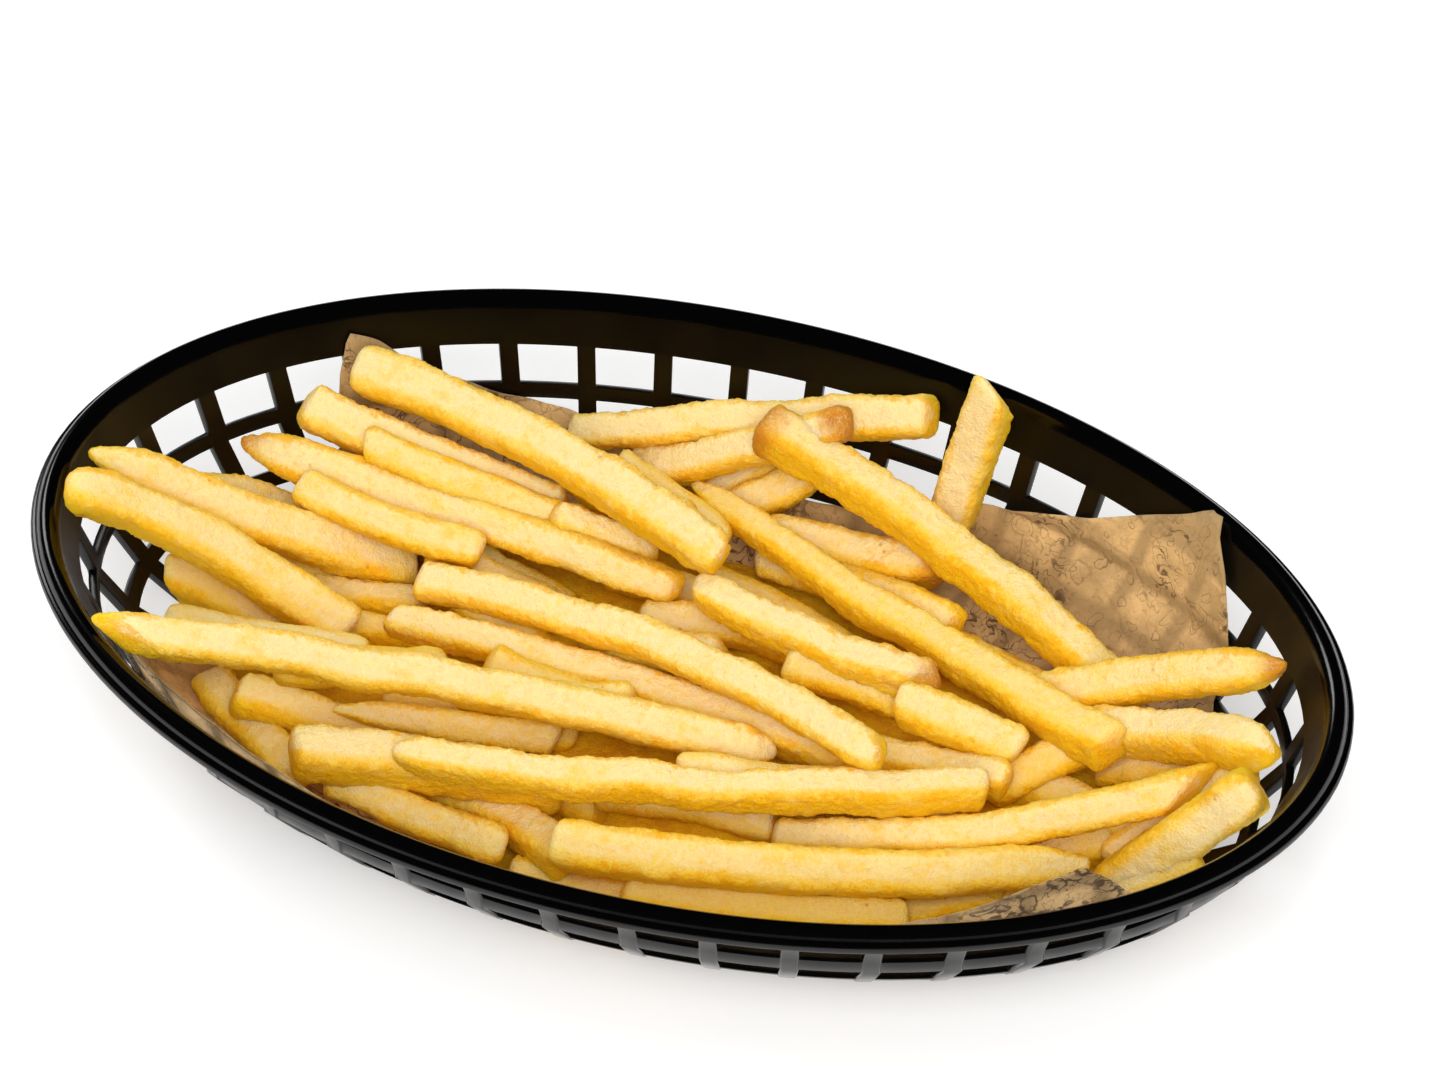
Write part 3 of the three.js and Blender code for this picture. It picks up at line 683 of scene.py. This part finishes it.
def paper_mesh(look, slat_count):
    """The sheet's middle surface, and the painted shade where the basket behind it keeps light from
    showing through.
    """
    angles, edges, leans = np.array(PAPER_EDGE, float).T
    columns, base_rows, wall_rows = PAPER_GRID
    low = BASE_TOP + PAPER_LIFT
    crease = look.crease / MM
    slats = slat_angles(slat_count)
    points, faces, slat_shade = [], [], []
    for c in range(columns):
        degree = c / columns * 360
        angle = math.radians(degree)
        ragged = RAGGED * noise.noise(Vector((degree * 0.35, 3.1, 0)))
        edge = np.interp(degree, angles, edges) + ragged
        lean = np.interp(degree, angles, leans)
        for row in range(base_rows):
            inset = PAPER_MIDDLE - (PAPER_MIDDLE - BASE_INSET) * (row / base_rows)
            x, y, z = on_oval(angle, inset, low)
            points.append((x, y, z + crease_at((x, y, z), crease)))
            slat_shade.append(BASE_SHADE)
        for row in range(wall_rows):
            height = low + ((row + 1) / wall_rows) ** 1.25 * (edge - low)
            shove = crease_at(off_wall(angle, height, PAPER_GAP, edge, lean), crease)
            points.append(off_wall(angle, height, PAPER_GAP + shove, edge, lean))
            # Painted shade of the slats and rings behind the sheet, full above the closed band.
            aside = np.abs((slats - angle + math.pi) % TAU - math.pi).min()
            aside *= stretch_at(angle, wall_inset(height))
            away = min(aside, *(abs(height - ring) for ring in RINGS))
            slat_shade.append(max(0.0, 1.2 - away / SLAT_SHADE_RUN, (height - CLOSED_SHADE_ABOVE) / 2))
    middle = len(points)
    points.append((0, 0, low))
    slat_shade.append(BASE_SHADE)
    rows = base_rows + wall_rows
    for c in range(columns):
        here, there = c * rows, (c + 1) % columns * rows
        faces.append((middle, here, there))
        for row in range(rows - 1):
            faces.append((here + row, here + row + 1, there + row + 1, there + row))
    return points, faces, slat_shade


# ---------------------------------------- the fries
class Fry:
    """One fry's bent centre line, its widths and the look of its ends."""

    def __init__(self, x0, y0, z0, x1, y1, z1, bow, width0, width1, ends):
        self.start, self.end = Vector((x0, y0, z0)), Vector((x1, y1, z1))
        across = Vector((y0 - y1, x1 - x0, 0)).normalized()
        self.middle = (self.start + self.end) / 2 + across * (2 * bow)
        self.widths, self.ends = (width0, width1), ends
        self.length = (self.end - self.start).length

    def point(self, t):
        return (self.start * (1 - t) ** 2 + self.middle * (2 * t * (1 - t))
                + self.end * t ** 2)

    def axes(self, t):
        """The directions along the fry, to its left and up from it."""
        along = ((self.middle - self.start) * (1 - t)
                 + (self.end - self.middle) * t).normalized()
        side = Vector((-along.y, along.x, 0)).normalized()
        return along, side, along.cross(side)

    def half(self, t):
        """Half its thickness, before its ends taper."""
        return (self.widths[0] + t * (self.widths[1] - self.widths[0])) * FRY_FLAT / 2

    def samples(self, count=9):
        """Points along the fry with its half thickness at each."""
        steps = [i / (count - 1) for i in range(count)]
        return np.array([self.point(t) for t in steps]), np.array([self.half(t) for t in steps])

    def vary(self, draw):
        """Draws what differs from fry to fry: its turn, tone (partly random, partly painted shade for
        the low ones), flatness, lumps and cuts.
        """
        _, side, up = self.axes(0.5)
        lean = math.atan2(FACING.dot(side), FACING.dot(up))
        quarters = round(lean / QUARTER * 0.8) * QUARTER
        self.near_side = lean - quarters
        self.roll = -FRY_LEAN * lean - (1 - FRY_LEAN) * quarters + draw.uniform(-0.2, 0.2)
        self.twist = draw.uniform(-0.3, 0.3)
        # Low fries get a deeper, more golden tone: painted shade of lying under the others; the rest
        # of the tone is random.
        low_shade = clamped((SHADED_BELOW - (self.start.z + self.end.z) / 2) / 20)
        self.tone = 0.65 * draw.uniform(0, 1) + 0.45 * low_shade
        self.flat = draw.uniform(0.93, 1.08)       # a section is seldom quite square
        self.offset = Vector([draw.uniform(-90, 90) for _ in range(3)])
        self.slants = [draw.uniform(-0.35, 0.35) for _ in range(4)]

    def wander(self, *place):
        """Noise of the fry's own."""
        return noise.noise(self.offset + Vector(place))

    def from_ends(self, distance):
        """Each end's style letter with how far away that end is."""
        return zip(self.ends, (distance, self.length - distance))

    def taper(self, distance):
        """The share of its thickness that the ends leave it."""
        share = 1.0
        for letter, away in self.from_ends(distance):
            tip_size, run = END_STYLES[letter.lower()][:2]
            if away < run:
                share *= tip_size + (1 - tip_size) * (1 - (1 - away / run) ** 2)
        return share

    def browning(self, distance):
        """How browned it is: most at a tip with a capital letter, less along its length."""
        return max([0.0] + [max(1 - away / BROWN_TIP, BROWN_FAINT - away / 60)
                            for letter, away in self.from_ends(distance) if letter.isupper()])

    def rings(self, spacing):
        """Where its sections lie, in mm from its start, and their size there."""
        steps = max(8, int(self.length / spacing))
        spots = [i / steps * self.length for i in range(1, steps)]
        return (END_CAPS
                + [(run, 1.0) for run in spots if CAP_RUN < run < self.length - CAP_RUN]
                + [(self.length - run, size) for run, size in reversed(END_CAPS)])


def fry_mesh(fry, crumb, draw, grid):
    """Points, faces and colour weights of one fry."""
    spacing, sides = grid
    fry.vary(draw)
    rings = fry.rings(spacing)
    points, edges, tips, flank_shades = [], [], [], []
    for distance, size in rings:
        t = distance / fry.length
        centre = fry.point(t)
        along, side, up = fry.axes(t)
        sway = SWAY * math.sin(math.pi * t)
        centre += side * (sway * fry.wander(0, distance / SWAY_SIZE, 5))
        centre += up * (sway * fry.wander(0, distance / SWAY_SIZE, 9))
        half = fry.half(t) * fry.taper(distance)
        at_start = distance < fry.length / 2
        away = min(distance, fry.length - distance)
        letter = fry.ends[0 if at_start else 1].lower()
        slant = END_STYLES[letter][2:]
        chance = fry.slants[:2] if at_start else fry.slants[2:]
        cut_side, cut_up = (a + b for a, b in zip(chance, slant))
        cut_run = CUT_RUN + CUT_REACH * half * math.hypot(*slant)
        nearness = clamped(1 - away / cut_run)
        outward_run = along * (-nearness if at_start else nearness)
        fray = clamped(1 - away / FRAY_RUN) if letter == "f" else 0.0
        tip = max(fry.browning(distance), 0.25 * nearness)
        wobble = 1 + WOBBLE * fry.wander(distance / WOBBLE_SIZE, 0, 0)
        thick = wobble + THICK * fry.wander(0, 7, distance / THICK_SIZE)
        chips = [CORNER + CHIP * fry.wander(distance / CHIP_SIZE, 5 * corner, 2)
                 for corner in range(4)]
        turn = fry.roll + fry.twist * t
        for k in range(sides):
            angle = (k + 0.5) / sides * TAU
            cosine, sine = math.cos(angle), math.sin(angle)
            reach = (abs(cosine) ** SQUARENESS + abs(sine) ** SQUARENESS) ** (-1 / SQUARENESS)
            reach = 1 + (reach - 1) * chips[k * 4 // sides]
            wide = cosine * reach * half * size * fry.flat * wobble
            high = sine * reach * half * size * thick
            over = wide * math.cos(turn) - high * math.sin(turn)
            rise = wide * math.sin(turn) + high * math.cos(turn)
            outward = side * over + up * rise
            spot = centre + outward + outward_run * (cut_side * over + cut_up * rise)
            place = spot + fry.offset
            bumps = crumb * noise.noise(place / CRUMB_SIZE)
            for height, bump_size in LUMPS:
                bumps += height * noise.noise(place / bump_size)
            if fray:
                bumps += FRAY * fray * noise.noise(place / 2.4 + Vector((3, 1, 4)))
            points.append(spot + outward.normalized() * bumps * size)
            edges.append(clamped((reach - EDGE_FROM) / EDGE_RUN) if size > 0.8 else 0.8)
            tips.append(tip)
            # Painted shade of the flanks, growing with the turn from the top face and starting sooner
            # on the side toward the camera.
            shade_from = SHADE_NEAR if cosine * fry.near_side > 0 else SHADE_FAR
            flank_shades.append(clamped(math.acos(sine) - shade_from))
    faces = []
    for r in range(0, (len(rings) - 1) * sides, sides):
        for k in range(sides):
            j = (k + 1) % sides
            faces.append((r + k, r + j, r + sides + j, r + sides + k))
    return points, faces, {"edge": edges, "tip": tips, "flank_shade": flank_shades,
                           "tone": [fry.tone] * len(points)}


def join_meshes(meshes):
    """One list of points, faces and attributes from several."""
    points, faces, attributes = [], [], {}
    for some_points, some_faces, some_attributes in meshes:
        first = len(points)
        points += some_points
        faces += [tuple(first + i for i in face) for face in some_faces]
        for key, values in some_attributes.items():
            attributes.setdefault(key, []).extend(values)
    return points, faces, attributes


def any_fry(draw):
    """A fry of any size and place for the heap's inside."""
    length = draw.uniform(24, 60)
    turn = draw.gauss(0, 0.5)
    x, y = draw.uniform(-100, 100), draw.uniform(-48, 58)
    height = draw.uniform(6.5, 26)
    tilt = draw.uniform(-0.22, 0.22)
    reach = Vector((math.cos(turn), math.sin(turn), math.tan(tilt))) * (length / 2)
    middle = Vector((x, y, height))
    width = draw.uniform(6.4, 8.2)
    return Fry(*(middle - reach), *(middle + reach), draw.uniform(-1.5, 1.5), width,
               width * draw.uniform(0.85, 1.1), draw.choice(["bb", "bs", "sb", "bp"]))


def is_inside(spots, halves):
    """Whether a fry stays off the basket's wall and base."""
    clear = wall_inset(np.maximum(3, spots[:, 2] - halves)) + HIDDEN_ROOM + halves
    room = (spots[:, 0] / (HALF_X - clear)) ** 2 + (spots[:, 1] / (HALF_Y - clear)) ** 2
    return room.max() <= 1 and (spots[:, 2] - halves).min() >= BASE_TOP + HIDDEN_LIFT


def overlaps(spots, halves, other_spots, other_halves):
    apart = np.linalg.norm(spots[:, None] - other_spots[None], axis=2)
    return (apart < HIDDEN_CLOSE * (halves[:, None] + other_halves[None])).any()


def hidden_fries(draw, shown, view):
    """Fries underneath, placed one by one where they touch no other.

    Each stays behind the fries that show, as seen along the view direction.
    """
    taken = [fry.samples() for fry in shown]
    across = Vector((0, 0, 1)).cross(view).normalized()
    frame = np.array([across, view.cross(across), view])
    cover_spots, cover_halves = (np.concatenate(parts)
                                 for parts in zip(*(fry.samples(25) for fry in shown)))
    cover_spots = cover_spots @ frame.T
    found = []
    for _ in range(HIDDEN_TRIES):
        fry = any_fry(draw)
        spots, halves = fry.samples()
        if not is_inside(spots, halves):
            continue
        seen = spots @ frame.T
        apart = np.linalg.norm(seen[:, None, :2] - cover_spots[None, :, :2], axis=2)
        is_before = cover_spots[None, :, 2] >= seen[:, None, 2] + HIDDEN_BEHIND
        uncovered = np.where(is_before, apart - cover_halves, np.inf).min(axis=1)
        if uncovered.max() > HIDDEN_PEEP or any(overlaps(spots, halves, *t) for t in taken):
            continue
        taken.append((spots, halves))
        found.append(fry)
    return found


def bed_mesh():
    """A low lumpy bed under the fries, lower than every fry that shows."""
    columns, rows = BED_GRID
    points, faces = [(0.0, BED_MIDDLE, BED_TOP)], []
    for r in range(1, rows + 1):
        share = r / rows
        for c in range(columns):
            angle = c / columns * TAU
            x = BED_HALF_X * share * math.cos(angle)
            y = BED_MIDDLE + BED_HALF_Y * share * math.sin(angle)
            dome = BED_EDGE + BED_RISE * max(0.0, 1 - share ** 2.4)
            lump = BED_LUMP * noise.noise(Vector((x / 6, y / 4, 1.7)))
            points.append((x, y, max(4.0, dome + lump * (1 - share ** 4))))
    for c in range(columns):
        faces.append((0, 1 + c, 1 + (c + 1) % columns))
    for r in range(rows - 1):
        for c in range(columns):
            a, b = 1 + r * columns + c, 1 + r * columns + (c + 1) % columns
            faces.append((a, a + columns, b + columns, b))
    first = len(points)
    outer = first - columns
    for x, y, _ in points[outer:]:
        points.append((x * 0.98, BED_MIDDLE + (y - BED_MIDDLE) * 0.98, BED_BOTTOM))
    points.append((0.0, BED_MIDDLE, BED_BOTTOM))
    for c in range(columns):
        j = (c + 1) % columns
        faces.append((outer + c, first + c, first + j, outer + j))
        faces.append((first + columns, first + j, first + c))
    return points, faces, {key: [value] * len(points) for key, value in BED_LOOK.items()}


# ---------------------------------------- the stage
def view_direction(stage):
    """From the basket to the camera."""
    return Vector((math.sin(stage.azimuth) * math.cos(stage.elevation),
                   -math.cos(stage.azimuth) * math.cos(stage.elevation),
                   math.sin(stage.elevation)))


def add_light(name, size, power, place, mirrored):
    """A soft area light that shines on the basket; only a mirrored one shows in its gloss."""
    data = bpy.data.lights.new(name, "AREA")
    data.shape, data.size, data.size_y = "RECTANGLE", size[0], size[1]
    data.energy = power
    light = bpy.data.objects.new(name, data)
    light.location = place
    light.rotation_euler = (LIT_POINT - Vector(place)).to_track_quat("-Z", "Y").to_euler()
    light.visible_glossy = mirrored
    bpy.context.scene.collection.objects.link(light)


def add_camera(look):
    data = bpy.data.cameras.new("camera")
    data.sensor_width, data.sensor_fit, data.lens = SENSOR, "HORIZONTAL", look.lens
    data.shift_x, data.shift_y = (pixels / PICTURE_WIDTH for pixels in PICTURE_SHIFT)
    data.clip_start, data.clip_end = 0.05, 60
    camera = bpy.data.objects.new("camera", data)
    back = view_direction(look)
    camera.location = CAMERA_TARGET + back * look.distance
    camera.rotation_euler = (-back).to_track_quat("-Z", "Y").to_euler()
    bpy.context.scene.collection.objects.link(camera)
    bpy.context.scene.camera = camera


def add_room(strength):
    """Even light from all round that doesn't show in the basket's gloss."""
    world = bpy.data.worlds.new("soft_room")
    bpy.context.scene.world = world
    world.use_nodes = True
    background = world.node_tree.nodes["Background"]
    background.inputs["Color"].default_value = (1, 1, 1, 1)
    background.inputs["Strength"].default_value = strength
    world.cycles_visibility.glossy = False


# ---------------------------------------- operators
class FRIES_OT_basket(bpy.types.Operator):
    """Mould the oval basket with its rolled rim, rings and slats"""
    bl_idname = "fries.basket"
    bl_label = "Mould the basket"

    def execute(self, context):
        look = context.scene.basket_look
        points, faces, inner = basket_mesh(look)
        piece = new_piece("basket_moulding", points, faces, plastic_material(look),
                          {"inner": inner})
        bevel = piece.modifiers.new("soft edges", "BEVEL")
        bevel.width, bevel.segments = SOFT_EDGE, 2
        bevel.limit_method, bevel.angle_limit = "ANGLE", SHARP_ANGLE
        dress(piece, "basket")
        return {"FINISHED"}


class FRIES_OT_paper(bpy.types.Operator):
    """Lay the printed kraft paper sheet in the basket"""
    bl_idname = "fries.paper"
    bl_label = "Lay the paper"

    def execute(self, context):
        look = context.scene.paper_look
        points, faces, slat_shade = paper_mesh(look, context.scene.basket_look.slats)
        piece = new_piece("paper_sheet", points, faces, paper_material(look),
                          {"slat_shade": slat_shade})
        solid = piece.modifiers.new("thickness", "SOLIDIFY")
        solid.thickness, solid.offset = look.thickness, 0
        dress(piece, "paper_liner")
        return {"FINISHED"}


class FRIES_OT_heap(bpy.types.Operator):
    """Heap the fries over their bed"""
    bl_idname = "fries.heap"
    bl_label = "Heap the fries"

    def execute(self, context):
        look = context.scene.fries_look
        view = view_direction(context.scene.stage_look)
        draw = random.Random(look.seed)
        crumb = look.crumb / MM
        shown = [Fry(*row) for row in FRIES]
        filling = [Fry(*row) for row in FRIES_UNDER]
        meshes = [fry_mesh(fry, crumb, draw, FINE_GRID) for fry in shown]
        parts = {f"fries_layer_{k // LAYER + 1}": join_meshes(meshes[k:k + LAYER])
                 for k in range(0, len(meshes), LAYER)}
        under = filling + hidden_fries(draw, shown + filling, view)
        parts["fries_underneath"] = join_meshes(
            [fry_mesh(fry, crumb, draw, COARSE_GRID) for fry in under])
        parts["fries_bed"] = bed_mesh()
        material = fry_material(look)
        for name, (points, faces, attributes) in parts.items():
            dress(new_piece(name, points, faces, material, attributes), "fries_heap")
        return {"FINISHED"}


class FRIES_OT_stage(bpy.types.Operator):
    """Set the pale floor, the soft lights and the camera"""
    bl_idname = "fries.stage"
    bl_label = "Set the stage"

    def execute(self, context):
        look = context.scene.stage_look
        material = Shader("pale_floor").set(
            Base_Color=tuple(look.floor), Roughness=0.6, Specular_IOR_Level=0.2,
            Emission_Color=(1.0, 1.0, 1.0), Emission_Strength=look.glow)
        far = FLOOR_HALF / MM
        corners = [(-far, -far, 0), (far, -far, 0), (far, far, 0), (-far, far, 0)]
        floor = new_piece("floor", corners, [(0, 1, 2, 3)], material, {}, smooth=False)
        add_room(ROOM_LIGHT * look.light)
        for name, size, power, place, mirrored in LIGHTS:
            add_light(name, size, power * look.light, place, mirrored)
        add_light("broad_fill", (1.0, 1.0), FILL_LIGHT * look.light,
                  view_direction(look) * FILL_AWAY, False)
        add_camera(look)
        context.scene.view_settings.view_transform = "Standard"
        return {"FINISHED"}


class FRIES_PT_panel(bpy.types.Panel):
    """Lists what builds the basket of fries"""
    bl_label = "Basket of Fries"
    bl_space_type = "VIEW_3D"
    bl_region_type = "UI"
    bl_category = "Fries"

    def draw(self, context):
        for operator in OPERATORS:
            self.layout.operator(operator.bl_idname)
        for group in LOOKS:
            settings = getattr(context.scene, group)
            column = self.layout.column(align=True)
            for key in settings.__annotations__:
                column.prop(settings, key)


LOOKS = {"basket_look": BasketLook, "paper_look": PaperLook, "fries_look": FriesLook,
         "stage_look": StageLook}
OPERATORS = [FRIES_OT_basket, FRIES_OT_paper, FRIES_OT_heap, FRIES_OT_stage]
CLASSES = [*LOOKS.values(), *OPERATORS, FRIES_PT_panel]


def register():
    for cls in CLASSES:
        bpy.utils.register_class(cls)
    for name, group in LOOKS.items():
        setattr(bpy.types.Scene, name, PointerProperty(type=group))


def unregister():
    for name in LOOKS:
        delattr(bpy.types.Scene, name)
    for cls in reversed(CLASSES):
        bpy.utils.unregister_class(cls)


def main():
    register()
    bpy.ops.fries.basket()
    bpy.ops.fries.paper()
    bpy.ops.fries.heap()
    bpy.ops.fries.stage()


if __name__ == "__main__":
    main()
